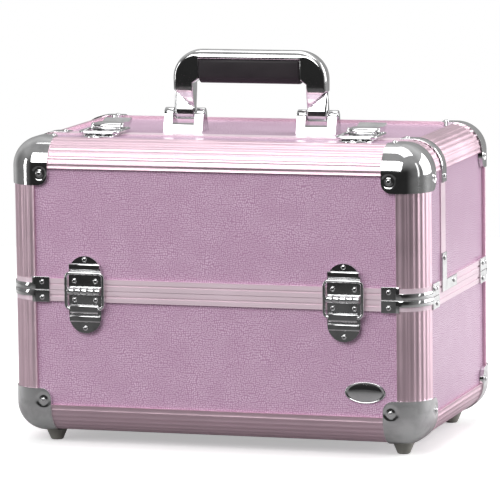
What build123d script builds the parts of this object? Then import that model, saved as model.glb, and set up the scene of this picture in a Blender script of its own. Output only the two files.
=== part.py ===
from build123d import *
import math
import os

os.makedirs("parts", exist_ok=True)

# Makeup train case. Origin at the middle of the case on the surface it stands on, +Z up, front towards -Y.

# Driving dimensions, in millimetres.
WIDTH = 360.0
DEPTH = 223.0
BODY_HEIGHT = 247.0
FOOT_HEIGHT = 11.0
EDGE_RADIUS = 24.0  # quarter-round edge extrusions
WALL = 6.5  # thickness of the extrusions
PANEL = 4.0  # thickness of the panels that they hold
FRONT_LID_DEPTH = 54.0
BASE_HEIGHT = 121.5  # from the body's underside to the seam
RIM_HEIGHT = 9.5  # metal frame on each side of the seam
BODY_GAP = 0.3  # running gap between the base and the two lids
FITTING_X = 112.0  # hinges and latches, left and right of the middle
FITTING_WIDTH = 28.4

# Planes that follow from them.
HALF_X = WIDTH / 2
HALF_Y = DEPTH / 2
BOTTOM = FOOT_HEIGHT
TOP = FOOT_HEIGHT + BODY_HEIGHT
MID = (TOP + BOTTOM) / 2
SEAM = BOTTOM + BASE_HEIGHT
PARTING = FRONT_LID_DEPTH - HALF_Y
RAIL_X = HALF_X - EDGE_RADIUS
RAIL_Y = HALF_Y - EDGE_RADIUS
RAIL_LOW = BOTTOM + EDGE_RADIUS
RAIL_HIGH = TOP - EDGE_RADIUS
RECESS = WALL - PANEL
INNER_X = HALF_X - WALL
INNER_Y = HALF_Y - WALL
BASE_TOP = SEAM - BODY_GAP / 2
LID_BOTTOM = SEAM + BODY_GAP / 2
BASE_RIM_LOW = SEAM - RIM_HEIGHT
LID_RIM_HIGH = SEAM + RIM_HEIGHT
FRONT_EDGE = PARTING - BODY_GAP / 2
REAR_EDGE = PARTING + BODY_GAP / 2
RIM_CAP = 1.35  # metal over the edges of the panels
FAR = 400.0


def block(x0, x1, y0, y1, z0, z1):
    """A box between two opposite corners."""
    middle = Pos((x0 + x1) / 2, (y0 + y1) / 2, (z0 + z1) / 2)
    return middle * Box(x1 - x0, y1 - y0, z1 - z0)


def mirror_x(shape):
    """The same piece on the other side of the case."""
    return mirror(shape, about=Plane.YZ)


def mirror_y(shape):
    """The same piece, swapped between front and rear."""
    return mirror(shape, about=Plane.XZ)


def mirror_z(shape):
    """The same piece, swapped between the top and the bottom of the body."""
    return mirror(shape, about=Plane.XY.offset(MID))


def both_sides(shape):
    """A left and right pair."""
    return [shape, mirror_x(shape)]


def pair_at_fittings(shape):
    """A piece drawn at x = 0, repeated at the two hinge and latch places."""
    return [Pos(side * FITTING_X, 0, 0) * shape for side in (-1, 1)]


def write(name, *shapes):
    """One sub-part's file, with each of its pieces as a separate solid."""
    solids = [solid for shape in shapes for solid in shape.solids()]
    export_step(Compound(children=solids), f"parts/{name}.step")


def x_cylinder(radius, x0, x1, y, z):
    """A round bar along X."""
    return Pos((x0 + x1) / 2, y, z) * Rot(0, 90, 0) * Cylinder(radius, x1 - x0)


def rounded_case(grow):
    """The body's whole envelope with every edge rounded, made larger by grow on all sides."""
    body = block(
        -HALF_X - grow, HALF_X + grow, -HALF_Y - grow, HALF_Y + grow, BOTTOM - grow, TOP + grow
    )
    return fillet(body.edges(), EDGE_RADIUS + grow)


def plan_ring(outside, inside, z0, z1):
    """A band round the body in plan, between two offsets from its outline."""
    outer = RectangleRounded(WIDTH + 2 * outside, DEPTH + 2 * outside, EDGE_RADIUS + outside)
    inner = RectangleRounded(WIDTH + 2 * inside, DEPTH + 2 * inside, EDGE_RADIUS + inside)
    return Pos(0, 0, z0) * extrude(outer - inner, z1 - z0)


FRONT_SPACE = block(-FAR, FAR, -FAR, FRONT_EDGE, 0, FAR)
REAR_SPACE = block(-FAR, FAR, REAR_EDGE, FAR, 0, FAR)


# Edge extrusions: quarter rounds with flutes along the outside.
FLUTES = 8
FLUTE_RADIUS = 5.0
FLUTE_DEPTH = 0.4


def fluted_rail(length):
    """A rail along Z from 0, its arc centred on the axis and its outside towards +X and +Y."""
    quadrant = Pos(EDGE_RADIUS / 2, EDGE_RADIUS / 2) * Rectangle(EDGE_RADIUS, EDGE_RADIUS)
    profile = (Circle(EDGE_RADIUS) - Circle(EDGE_RADIUS - WALL)) & quadrant
    reach = EDGE_RADIUS + FLUTE_RADIUS - FLUTE_DEPTH
    for i in range(FLUTES):
        angle = math.radians(90 * (i + 0.5) / FLUTES)
        profile -= Pos(reach * math.cos(angle), reach * math.sin(angle)) * Circle(FLUTE_RADIUS)
    return extrude(profile, length)


def post(z0, z1):
    """A vertical corner rail at the right rear."""
    return Pos(RAIL_X, RAIL_Y, z0) * fluted_rail(z1 - z0)


def rail_along_x():
    """The top rail across the rear."""
    start = Plane(origin=(-RAIL_X, RAIL_Y, RAIL_HIGH), x_dir=(0, 1, 0), z_dir=(1, 0, 0))
    return start * fluted_rail(2 * RAIL_X)


def rail_along_y(y0, y1):
    """The top rail on the right side."""
    start = Plane(origin=(RAIL_X, y0, RAIL_HIGH), x_dir=(0, 0, 1), z_dir=(0, 1, 0))
    return start * fluted_rail(y1 - y0)


base_post = post(RAIL_LOW, BASE_RIM_LOW)
lid_post = post(LID_RIM_HIGH, RAIL_HIGH)
rear_rail = rail_along_x()
write("base_corner_posts", *both_sides(base_post), *both_sides(mirror_y(base_post)))
write("front_lid_corner_posts", *both_sides(mirror_y(lid_post)))
write("rear_lid_corner_posts", *both_sides(lid_post))
write(
    "base_bottom_rails",
    mirror_z(rear_rail),
    mirror_z(mirror_y(rear_rail)),
    *both_sides(mirror_z(rail_along_y(-RAIL_Y, RAIL_Y))),
)
write("front_lid_top_rails", mirror_y(rear_rail), *both_sides(rail_along_y(-RAIL_Y, FRONT_EDGE)))
write("rear_lid_top_rails", rear_rail, *both_sides(rail_along_y(REAR_EDGE, RAIL_Y)))

# Panels, let into the rails. They run up behind the metal frames at the seam.
STRIP_RECESS = 1.0
PANEL_TOP = BASE_TOP - RIM_CAP
PANEL_LOW = LID_BOTTOM + RIM_CAP


def back_wall(z0, z1):
    """A panel across the rear."""
    return block(-RAIL_X, RAIL_X, INNER_Y, INNER_Y + PANEL, z0, z1)


def right_wall(y0, y1, z0, z1, recess=RECESS):
    """A panel on the right side."""
    return block(INNER_X, HALF_X - recess, y0, y1, z0, z1)


base_back = back_wall(RAIL_LOW, PANEL_TOP)
base_right = right_wall(-RAIL_Y, RAIL_Y, RAIL_LOW, PANEL_TOP)
lid_back = back_wall(PANEL_LOW, RAIL_HIGH)
rear_right = right_wall(REAR_EDGE, RAIL_Y, PANEL_LOW, RAIL_HIGH)
strip_right = right_wall(-RAIL_Y, FRONT_EDGE, PANEL_LOW, RAIL_HIGH, STRIP_RECESS)
strip_top = block(-RAIL_X, RAIL_X, -RAIL_Y, FRONT_EDGE, TOP - WALL, TOP - STRIP_RECESS)
write("base_back_panel", base_back)
write("base_front_panel", mirror_y(base_back))
write("base_side_panels", *both_sides(base_right))
write(
    "base_floor_panel",
    block(-RAIL_X, RAIL_X, -RAIL_Y, RAIL_Y, BOTTOM + RECESS, BOTTOM + WALL),
)
write("front_lid_panel", mirror_y(lid_back))
write("front_lid_side_strips", *both_sides(strip_right))
write("front_lid_top_strip", strip_top)
write("rear_lid_back_panel", lid_back)
write("rear_lid_side_panels", *both_sides(rear_right))
write(
    "rear_lid_top_panel",
    block(-RAIL_X, RAIL_X, REAR_EDGE, RAIL_Y, TOP - WALL, TOP - RECESS),
)

# Frames on each side of the seam, with a groove along the middle of the outside.
GROOVE_HEIGHT = 1.6
GROOVE_DEPTH = 0.8


def rim(z0, z1):
    """A seam frame all round, cut away where the panels run up behind it."""
    groove_low = (z0 + z1 - GROOVE_HEIGHT) / 2
    groove = plan_ring(1.0, -GROOVE_DEPTH, groove_low, groove_low + GROOVE_HEIGHT)
    return plan_ring(0, -WALL, z0, z1) - groove


base_rim = rim(BASE_RIM_LOW, BASE_TOP)
for wall in (base_back, mirror_y(base_back), *both_sides(base_right)):
    base_rim -= wall
lid_rim = rim(LID_BOTTOM, LID_RIM_HIGH)
for wall in (lid_back, mirror_y(lid_back), *both_sides(rear_right), *both_sides(strip_right)):
    lid_rim -= wall
write("base_rim_frame", base_rim)
write("front_lid_rim_frame", lid_rim & FRONT_SPACE)
write("rear_lid_rim_frame", lid_rim & REAR_SPACE)

# Frame along the rear lid's front edge: one strip on each side and one across the top.
PARTING_FRAME_WIDTH = 14.0
FRAME_REAR = REAR_EDGE + PARTING_FRAME_WIDTH
side_frame = block(HALF_X - RECESS, HALF_X, REAR_EDGE, FRAME_REAR, LID_RIM_HIGH, RAIL_HIGH)
write(
    "rear_lid_parting_frame",
    *both_sides(side_frame),
    block(-RAIL_X, RAIL_X, REAR_EDGE, FRAME_REAR, TOP - RECESS, TOP),
)

# Pressed metal laid over the outside: ball corners, edge trims, seam wraps and angle brackets.
PRESSING = 1.1
SEAT = 0.05  # gap between a pressing and what it lies on
BALL_REACH = 36.0
BALL_REACH_Z = 38.0
BALL_LOBE_RADIUS = 9.0
pressed_skin = rounded_case(PRESSING) - rounded_case(SEAT)


def ball_corner():
    """The cap over the right rear top corner, with a flange on each of the three faces."""
    x0 = HALF_X - BALL_REACH
    y0 = HALF_Y - BALL_REACH
    z0 = TOP - BALL_REACH_Z
    region = block(x0, FAR, y0, FAR, z0, FAR)
    lowest = [region.edges().group_by(axis)[0] for axis in (Axis.X, Axis.Y, Axis.Z)]
    meeting = [edge for edge in region.edges() if sum(edge in group for group in lowest) == 2]
    region = fillet(meeting, BALL_LOBE_RADIUS)
    flange_x = block(HALF_X - RECESS, HALF_X + SEAT, y0, RAIL_Y, z0, RAIL_HIGH)
    flange_y = block(x0, RAIL_X, HALF_Y - RECESS, HALF_Y + SEAT, z0, RAIL_HIGH)
    flange_z = block(x0, RAIL_X, y0, RAIL_Y, TOP - RECESS, TOP + SEAT)
    return (pressed_skin + flange_x + flange_y + flange_z) & region


def front_ball_corner():
    """The same cap on the front lid, cleared from the strips that lie nearer the surface there."""
    cap = mirror_y(ball_corner())
    return cap - strip_right - strip_top


ball = ball_corner()
front_ball = front_ball_corner()
low_balls = [mirror_z(shape) for shape in (*both_sides(ball), *both_sides(mirror_y(ball)))]
write("base_ball_corners", *low_balls)
write("front_lid_ball_corners", *both_sides(front_ball))
write("rear_lid_ball_corners", *both_sides(ball))

TRIM_FRONT = REAR_EDGE + 1.0
TRIM_REAR = TRIM_FRONT + 14.0
TRIM_REACH = 11.0  # along the top and down the side, past the rounding
trim_space = block(RAIL_X - TRIM_REACH, FAR, TRIM_FRONT, TRIM_REAR, RAIL_HIGH - TRIM_REACH, FAR)
write("rear_lid_edge_trims", *both_sides(pressed_skin & trim_space))

WRAP_LOW = 10.5
WRAP_HIGH = 11.0
WRAP_NECK = 5.5  # height of the band round the corner itself
WRAP_TAB_X = 12.5
WRAP_LIP = 3.0  # by which the rear tab runs on to the rounding
WRAP_TAB_Y = 20.0


def corner_wrap(z0, z1, neck_side):
    """A seam wrap at the right rear: two tabs joined by a narrow band next to the seam."""
    band = plan_ring(PRESSING, SEAT, z0, z1)
    band &= block(RAIL_X - WRAP_TAB_X, FAR, RAIL_Y - WRAP_TAB_Y, FAR, z0, z1)
    cut = (z0 + WRAP_NECK, z1) if neck_side > 0 else (z0, z1 - WRAP_NECK)
    return band - block(RAIL_X + WRAP_LIP, FAR, RAIL_Y, FAR, *cut)


base_wrap = corner_wrap(SEAM - WRAP_LOW, BASE_TOP, -1)
lid_wrap = corner_wrap(LID_BOTTOM, SEAM + WRAP_HIGH, 1)
write("base_corner_wraps", *both_sides(base_wrap), *both_sides(mirror_y(base_wrap)))
write("front_lid_corner_wraps", *both_sides(mirror_y(lid_wrap)))
write("rear_lid_corner_wraps", *both_sides(lid_wrap))

BRACKET_HEIGHT = 32.5
BRACKET_FOOT = 46.0
bracket_leg = block(HALF_X, HALF_X + PRESSING, REAR_EDGE, FRAME_REAR, LID_BOTTOM, SEAM + BRACKET_HEIGHT)
bracket_foot = block(
    HALF_X, HALF_X + PRESSING, REAR_EDGE, REAR_EDGE + BRACKET_FOOT, LID_BOTTOM, SEAM + RIM_HEIGHT
)
write("rear_lid_angle_brackets", *both_sides(bracket_leg + bracket_foot))

# Feet, the blank oval badge and the linings.
FOOT_X = 152.0
FOOT_Y = 77.0
FOOT_TOP = BOTTOM - PRESSING
foot = Pos(FOOT_X, FOOT_Y, FOOT_TOP / 2) * Cone(5.5, 9.3, FOOT_TOP)
write("rubber_feet", *both_sides(foot), *both_sides(mirror_y(foot)))

BADGE_X = 128.5
BADGE_Z = 44.0 + FOOT_HEIGHT
BADGE_WIDTH = 35.0
BADGE_HEIGHT = 18.0
BADGE_THICKNESS = 1.6
badge_plane = Plane(
    origin=(BADGE_X, RECESS - HALF_Y, BADGE_Z), x_dir=(1, 0, 0), z_dir=(0, -1, 0)
)
write("badge_plate", extrude(badge_plane * Ellipse(BADGE_WIDTH / 2, BADGE_HEIGHT / 2), BADGE_THICKNESS))

LINING = 1.0
lining_shell = rounded_case(-WALL) - rounded_case(-WALL - LINING)
write("base_lining", lining_shell & block(-FAR, FAR, -FAR, FAR, 0, BASE_RIM_LOW))
lid_lining = lining_shell & block(-FAR, FAR, -FAR, FAR, LID_RIM_HIGH, FAR)
write("front_lid_lining", lid_lining & FRONT_SPACE)
write("rear_lid_lining", lid_lining & REAR_SPACE)

# Stop hinges at the seam, front and rear: two leaves, a pin and a loose ring that limits the opening.
LEAF = 1.5  # plate thickness
LOWER_LEAF = 35.6  # from the seam to the tip of the leaf
UPPER_LEAF = 29.2
KNUCKLE_OUT = 4.0  # pin centre outside the body
KNUCKLE_RADIUS = 3.2
KNUCKLE_CLEAR = 3.5
PIN_RADIUS = 1.5
HOLE_RADIUS = 1.55
KNUCKLES = 5
KNUCKLE_GAP = 0.15
RING_WIRE = 1.4
RING_PLAY = 0.1  # between the wire and the bore it turns in
RING_HALF_X = 16.3  # wire centre to the middle, sideways
RING_DROP = 15.0  # from the seam to the ring's pivot
RING_CORNER = 4.0
UPPER_RIDGE = 20.0  # from the seam to the ridge pressed across each leaf
LOWER_RIDGE = 23.4
RIDGE_HALF_X = 13.4
RIDGE_HALF_Z = 2.8
RIDGE_PROUD = 1.6
RIDGE_ROUND = 1.2
HUMP_HALF_X = 12.2  # the hump of the lower leaf holds the ring's lower bar
HUMP_HALF_Z = 3.6
HUMP_PROUD = 2.3  # outside the middle of the ring's wire
HUMP_ROUND = 1.6
FACE_Y = -HALF_Y
LEAF_Y = FACE_Y - LEAF
HINGE_Y = FACE_Y - KNUCKLE_OUT
RING_Y = LEAF_Y - 0.3 - RING_WIRE
half_width = FITTING_WIDTH / 2


def leaf_outline(y0, y1, lower):
    """The round-ended leaf between two depths, hanging below the seam or standing above it."""
    side = -1 if lower else 1
    length = LOWER_LEAF if lower else UPPER_LEAF
    z_edge = SEAM + side * BODY_GAP / 2
    z_round = SEAM + side * (length - half_width)
    low, high = sorted((z_edge, z_round))
    tongue = block(-half_width, half_width, y0, y1, low, high)
    disc = Pos(0, (y0 + y1) / 2, z_round) * Rot(90, 0, 0) * Cylinder(half_width, y1 - y0)
    z_tip = SEAM + side * length
    return tongue + (disc & block(-FAR, FAR, -FAR, FAR, min(z_edge, z_tip), max(z_edge, z_tip)))


def knuckle_spans(lower):
    """The stretches of the pin that one leaf's knuckles take; the lower leaf has the outer ones."""
    width = FITTING_WIDTH / KNUCKLES
    first = 0 if lower else 1
    starts = [-half_width + width * i for i in range(first, KNUCKLES, 2)]
    return [(x + KNUCKLE_GAP, x + width - KNUCKLE_GAP) for x in starts]


def hinge_leaf(lower):
    """One leaf at x = 0, packed out to the panel beyond the seam frame."""
    side = -1 if lower else 1
    frame_edge = SEAM + side * RIM_HEIGHT
    plate = leaf_outline(LEAF_Y, FACE_Y, lower)
    packing = leaf_outline(FACE_Y, FACE_Y + RECESS, lower)
    if lower:
        packing &= block(-FAR, FAR, -FAR, FAR, 0, frame_edge)
    else:
        packing &= block(-FAR, FAR, -FAR, FAR, frame_edge, FAR)
    leaf = plate + packing
    for x0, x1 in knuckle_spans(not lower):
        leaf -= x_cylinder(KNUCKLE_CLEAR, x0 - 2 * KNUCKLE_GAP, x1 + 2 * KNUCKLE_GAP, HINGE_Y, SEAM)
    for x0, x1 in knuckle_spans(lower):
        leaf += x_cylinder(KNUCKLE_RADIUS, x0, x1, HINGE_Y, SEAM)
    leaf -= x_cylinder(HOLE_RADIUS, -FAR, FAR, HINGE_Y, SEAM)
    z = SEAM - LOWER_RIDGE if lower else SEAM + UPPER_RIDGE
    span_z = (z - RIDGE_HALF_Z, z + RIDGE_HALF_Z)
    ridge = block(-RIDGE_HALF_X, RIDGE_HALF_X, LEAF_Y - RIDGE_PROUD, LEAF_Y, *span_z)
    leaf += fillet(ridge.edges().filter_by(Axis.X).group_by(Axis.Y)[0], RIDGE_ROUND)
    if lower:
        z = SEAM - RING_DROP
        span_z = (z - HUMP_HALF_Z, z + HUMP_HALF_Z)
        hump = block(-HUMP_HALF_X, HUMP_HALF_X, RING_Y - HUMP_PROUD, LEAF_Y, *span_z)
        leaf += fillet(hump.edges().filter_by(Axis.X).group_by(Axis.Y)[0], HUMP_ROUND)
        leaf -= x_cylinder(RING_WIRE + RING_PLAY, -FAR, FAR, RING_Y, z)
    return leaf


def wire_ring(half_x, half_y, wire, corner):
    """A closed rectangular ring of round wire, lying flat at the origin with rounded corners."""
    straight_x = half_x - corner
    straight_y = half_y - corner
    ring = [x_cylinder(wire, -straight_x, straight_x, side * half_y, 0) for side in (-1, 1)]
    for side in (-1, 1):
        ring.append(Pos(side * half_x, 0, 0) * Rot(90, 0, 0) * Cylinder(wire, 2 * straight_y))
    bend = Torus(corner, wire) & block(0, FAR, 0, FAR, -FAR, FAR)
    for turn, (x, y) in enumerate(((1, 1), (-1, 1), (-1, -1), (1, -1))):
        ring.append(Pos(x * straight_x, y * straight_y, 0) * Rot(0, 0, 90 * turn) * bend)
    return ring[0].fuse(*ring[1:])


lower_leaves = pair_at_fittings(hinge_leaf(True))
upper_leaves = pair_at_fittings(hinge_leaf(False))
pin_half = half_width + 0.2
hinge_pin = x_cylinder(PIN_RADIUS, -pin_half, pin_half, HINGE_Y, SEAM)
hinge_pins = pair_at_fittings(hinge_pin)
ring_shape = wire_ring(RING_HALF_X, RING_DROP, RING_WIRE, RING_CORNER)
hinge_ring = Pos(0, RING_Y, SEAM) * Rot(90, 0, 0) * ring_shape
hinge_rings = pair_at_fittings(hinge_ring)
write("front_hinge_lower_leaves", *lower_leaves)
write("rear_hinge_lower_leaves", *[mirror_y(shape) for shape in lower_leaves])
write("front_hinge_upper_leaves", *upper_leaves)
write("rear_hinge_upper_leaves", *[mirror_y(shape) for shape in upper_leaves])
write("hinge_pins", *hinge_pins, *[mirror_y(shape) for shape in hinge_pins])
write("front_hinge_rings", *hinge_rings)
write("rear_hinge_rings", *[mirror_y(shape) for shape in hinge_rings])

# Draw latches on top: a lever on the rear lid pulls a ring against a bead on the front lid.
PLATE = 1.3
CATCH_Z = TOP - STRIP_RECESS
CATCH_TOP = CATCH_Z + LEAF
CATCH_LENGTH = 29.5
BASE_LENGTH = 37.0
RING_Z = TOP + 3.0
RING_FRONT = PARTING - 16.5
RING_REAR = PARTING + 19.5
LEVER_Y = PARTING + 10.5
LEVER_Z = TOP + 5.0
LEVER_HALF = 11.8
LEVER_NOSE = 3.4
LEVER_PLAY = 0.4  # between the lever and each ear
BEAD_HALF = 12.0
BEAD_REAR = 1.9  # from the ring's front bar to the bead it pulls on
BEAD_WIDTH = 5.6
BEAD_HEIGHT = 0.8  # above the middle of the ring's wire
BEAD_ROUND = 1.4


def top_plate(y_edge, y_tip, z0, z1):
    """A flat plate on the top, square at the parting line and round at the other end."""
    toward = 1 if y_tip > y_edge else -1
    y_round = y_tip - toward * half_width
    low, high = sorted((y_edge, y_round))
    tongue = block(-half_width, half_width, low, high, z0, z1)
    disc = Pos(0, y_round, (z0 + z1) / 2) * Cylinder(half_width, z1 - z0)
    return tongue + (disc & block(-FAR, FAR, min(y_edge, y_tip), max(y_edge, y_tip), z0, z1))


def catch_plate():
    """The plate on the front lid, with the bead that the ring pulls on."""
    y0 = RING_FRONT + BEAD_REAR
    bead = block(-BEAD_HALF, BEAD_HALF, y0, y0 + BEAD_WIDTH, CATCH_TOP, RING_Z + BEAD_HEIGHT)
    bead = fillet(bead.edges().filter_by(Axis.X).group_by(Axis.Z)[-1], BEAD_ROUND)
    return top_plate(FRONT_EDGE, FRONT_EDGE - CATCH_LENGTH, CATCH_Z, CATCH_TOP) + bead


def latch_base():
    """The plate on the rear lid, packed out behind the frame, with two ears for the lever."""
    plate = top_plate(REAR_EDGE, REAR_EDGE + BASE_LENGTH, TOP, TOP + PLATE)
    packing = top_plate(REAR_EDGE, REAR_EDGE + BASE_LENGTH, TOP - RECESS, TOP)
    packing &= block(-FAR, FAR, FRAME_REAR, FAR, 0, FAR)
    ears = x_cylinder(LEVER_NOSE, -half_width, half_width, LEVER_Y, LEVER_Z)
    ear_span = (LEVER_Y - LEVER_NOSE, LEVER_Y + LEVER_NOSE)
    ears += block(-half_width, half_width, *ear_span, TOP + PLATE, LEVER_Z)
    inside = LEVER_HALF + LEVER_PLAY
    ears -= block(-inside, inside, -FAR, FAR, 0, FAR)
    return plate + packing + ears - x_cylinder(HOLE_RADIUS, -FAR, FAR, LEVER_Y, LEVER_Z)


def latch_lever():
    """The lever, lying back over the ring's rear bar with its tip turned up for a finger."""
    low = TOP + PLATE + 0.3
    outline = Polyline(
        (LEVER_Y, low),
        (RING_REAR + 4.0, low),
        (RING_REAR + 13.0, LEVER_Z - 0.6),
        (RING_REAR + 19.5, LEVER_Z + 2.6),
        (RING_REAR + 18.5, LEVER_Z + 5.0),
        (RING_REAR + 10.0, LEVER_Z + 2.4),
        (RING_REAR + 1.0, LEVER_Z + 3.2),
        (LEVER_Y, LEVER_Z + LEVER_NOSE),
        (LEVER_Y, low),
    )
    profile = Plane(origin=(0, 0, 0), x_dir=(0, 1, 0), z_dir=(1, 0, 0)) * make_face(outline)
    lever = Pos(-LEVER_HALF, 0, 0) * extrude(profile, 2 * LEVER_HALF)
    lever += x_cylinder(LEVER_NOSE, -LEVER_HALF, LEVER_HALF, LEVER_Y, LEVER_Z)
    lever += x_cylinder(PIN_RADIUS, -half_width, half_width, LEVER_Y, LEVER_Z)
    return lever - x_cylinder(RING_WIRE + RING_PLAY, -FAR, FAR, RING_REAR, RING_Z)


ring_middle = (RING_FRONT + RING_REAR) / 2
ring_half = (RING_REAR - RING_FRONT) / 2
latch_ring = Pos(0, ring_middle, RING_Z) * wire_ring(RING_HALF_X, ring_half, RING_WIRE, RING_CORNER)
write("latch_catch_plates", *pair_at_fittings(catch_plate()))
write("latch_base_plates", *pair_at_fittings(latch_base()))
levers = pair_at_fittings(latch_lever())
latch_rings = pair_at_fittings(latch_ring)
for side, lever, ring in zip(("left", "right"), levers, latch_rings):
    write(f"latch_lever_{side}", lever)
    write(f"latch_ring_{side}", ring)

# Handle: a bow with a grip under its top bar, swinging on two pins in brackets on the rear lid.
BRACKET_X = 58.7
BRACKET_HALF = 17.5
BRACKET_DEPTH = 18.6
BRACKET_SEAT = TOP - RECESS
BRACKET_SILL = 6.0
SLOT_HALF = 9.6
HANDLE_AXIS_Z = FOOT_HEIGHT + 259.5
EAR_RADIUS = 5.0
HANDLE_TOP = FOOT_HEIGHT + 314.5
LEG_HALF = 8.7
BOW_DEPTH = 15.0
BOW_CORNER = 24.5
BOW_INNER_ROUND = 2.0
TOP_BAR = 8.0
GRIP_HALF = 44.4
GRIP_LOW = FOOT_HEIGHT + 286.0
GRIP_DEPTH = 17.0
GRIP_ROUND = 7.0
GRIP_REBATE = 2.2  # height by which the grip is let in round the top bar
SHOULDER_SLOPE = 4.0
TONGUE_RADIUS = 5.0
PIN_HANDLE = 2.5

ears = x_cylinder(EAR_RADIUS, -BRACKET_HALF, BRACKET_HALF, 0, HANDLE_AXIS_Z)
ear_side = Plane(origin=(-BRACKET_HALF, 0, 0), x_dir=(0, 1, 0), z_dir=(1, 0, 0)) * make_face(
    Polyline(
        (-BRACKET_DEPTH / 2, BRACKET_SEAT),
        (BRACKET_DEPTH / 2, BRACKET_SEAT),
        (EAR_RADIUS, HANDLE_AXIS_Z),
        (-EAR_RADIUS, HANDLE_AXIS_Z),
        (-BRACKET_DEPTH / 2, BRACKET_SEAT),
    )
)
ears += extrude(ear_side, 2 * BRACKET_HALF)
ears -= block(-SLOT_HALF, SLOT_HALF, -FAR, FAR, BRACKET_SEAT + BRACKET_SILL, FAR)
ears -= x_cylinder(PIN_HANDLE, -FAR, FAR, 0, HANDLE_AXIS_Z)
handle_bracket = Pos(BRACKET_X, 0, 0) * ears
write("handle_brackets", *both_sides(handle_bracket))
pin_reach = BRACKET_HALF + 0.8
handle_pin = x_cylinder(PIN_HANDLE, BRACKET_X - pin_reach, BRACKET_X + pin_reach, 0, HANDLE_AXIS_Z)
write("handle_pins", *both_sides(handle_pin))

leg_out = BRACKET_X + LEG_HALF
leg_in = BRACKET_X - LEG_HALF
bow_plane = Plane(origin=(0, BOW_DEPTH / 2, 0), x_dir=(1, 0, 0), z_dir=(0, -1, 0))
bow_outer = make_face(
    Polyline(
        (-leg_out, HANDLE_AXIS_Z),
        (leg_out, HANDLE_AXIS_Z),
        (leg_out, HANDLE_TOP),
        (-leg_out, HANDLE_TOP),
        (-leg_out, HANDLE_AXIS_Z),
    )
)
bow_outer = fillet(bow_outer.vertices().group_by(Axis.Y)[-1], BOW_CORNER)
shoulder = GRIP_HALF + 0.02
bow_inner = make_face(
    Polyline(
        (-leg_in, HANDLE_AXIS_Z - 1),
        (leg_in, HANDLE_AXIS_Z - 1),
        (leg_in, GRIP_LOW),
        (shoulder, GRIP_LOW + SHOULDER_SLOPE),
        (shoulder, HANDLE_TOP - TOP_BAR),
        (-shoulder, HANDLE_TOP - TOP_BAR),
        (-shoulder, GRIP_LOW + SHOULDER_SLOPE),
        (-leg_in, GRIP_LOW),
        (-leg_in, HANDLE_AXIS_Z - 1),
    )
)
bow_inner = fillet(bow_inner.vertices().group_by(Axis.Y)[-1], BOW_INNER_ROUND)
bow = extrude(bow_plane * (bow_outer - bow_inner), BOW_DEPTH)
tongue_trim = block(-FAR, FAR, -FAR, FAR, 0, HANDLE_AXIS_Z + 13.0)
tongue_keep = block(-FAR, FAR, -TONGUE_RADIUS, TONGUE_RADIUS, 0, FAR)
bow = (bow - tongue_trim) + (bow & tongue_trim & tongue_keep)
for side in (-1, 1):
    leg_span = (side * BRACKET_X - LEG_HALF, side * BRACKET_X + LEG_HALF)
    bow += x_cylinder(TONGUE_RADIUS, *leg_span, 0, HANDLE_AXIS_Z)
bow -= x_cylinder(PIN_HANDLE + 0.08, -FAR, FAR, 0, HANDLE_AXIS_Z)
write("handle_bow", bow)

grip_span = (-GRIP_DEPTH / 2, GRIP_DEPTH / 2)
grip = block(-GRIP_HALF, GRIP_HALF, *grip_span, GRIP_LOW, HANDLE_TOP - TOP_BAR)
grip = fillet(grip.edges().filter_by(Axis.X).group_by(Axis.Z)[0], GRIP_ROUND)
grip -= block(-FAR, FAR, -FAR, FAR, HANDLE_TOP - TOP_BAR - GRIP_REBATE, FAR) & bow
write("handle_grip", grip)

# Lift-out trays: each stands on two pairs of arms that swing it out over its open lid.
TRAY_HALF_X = 158.0
TRAY_INNER_Y = 4.0
TRAY_OUTER_Y = 88.0
TRAY_LOW = SEAM + 30.0
TRAY_HIGH = SEAM + 70.0
TRAY_WALL = 1.6
TRAY_CELLS = 4
ARM_LENGTH = 70.0
ARM_LEAN = math.radians(35)
ARM_HALF_WIDTH = 4.5
ARM_X0 = 160.2
ARM_X1 = 161.8
ARM_PLAY = 0.2  # between an arm and the collar or head beside it
HEAD_THICKNESS = 1.0
COLLAR_RADIUS = 4.0
HEAD_RADIUS = 3.4
ARM_PIN = 2.0
ARM_HOLE = 2.06
LINK_HOLE = 2.4  # the opened pivot: the second pair is loose on the tray's pins
ARM_FOOT_Y = 80.0
LINK_FOOT_Y = 60.0
ARM_FOOT_Z = SEAM - 8.0
tray_pin_z = ARM_FOOT_Z + ARM_LENGTH * math.cos(ARM_LEAN)
lean_back = ARM_LENGTH * math.sin(ARM_LEAN)


def swing_arm(foot_y, head_hole):
    """A right-hand arm of the rear tray, leaning in from its foot on the base to the tray."""
    head_y = foot_y - lean_back
    strip = Box(ARM_X1 - ARM_X0, 2 * ARM_HALF_WIDTH, ARM_LENGTH)
    middle = Pos((ARM_X0 + ARM_X1) / 2, (foot_y + head_y) / 2, (ARM_FOOT_Z + tray_pin_z) / 2)
    arm = middle * Rot(math.degrees(ARM_LEAN), 0, 0) * strip
    arm += x_cylinder(ARM_HALF_WIDTH, ARM_X0, ARM_X1, foot_y, ARM_FOOT_Z)
    arm += x_cylinder(ARM_HALF_WIDTH, ARM_X0, ARM_X1, head_y, tray_pin_z)
    arm -= x_cylinder(ARM_HOLE, -FAR, FAR, foot_y, ARM_FOOT_Z)
    return arm - x_cylinder(head_hole, -FAR, FAR, head_y, tray_pin_z)


def pivot_stud(y, z, collar, head):
    """A stud through an arm: a collar on one side of the arm, a head on the other and a shank along X."""
    stud = x_cylinder(COLLAR_RADIUS, *collar, y, z)
    stud += x_cylinder(ARM_PIN, min(*collar, *head), max(*collar, *head), y, z)
    return stud + x_cylinder(HEAD_RADIUS, *head, y, z)


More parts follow.
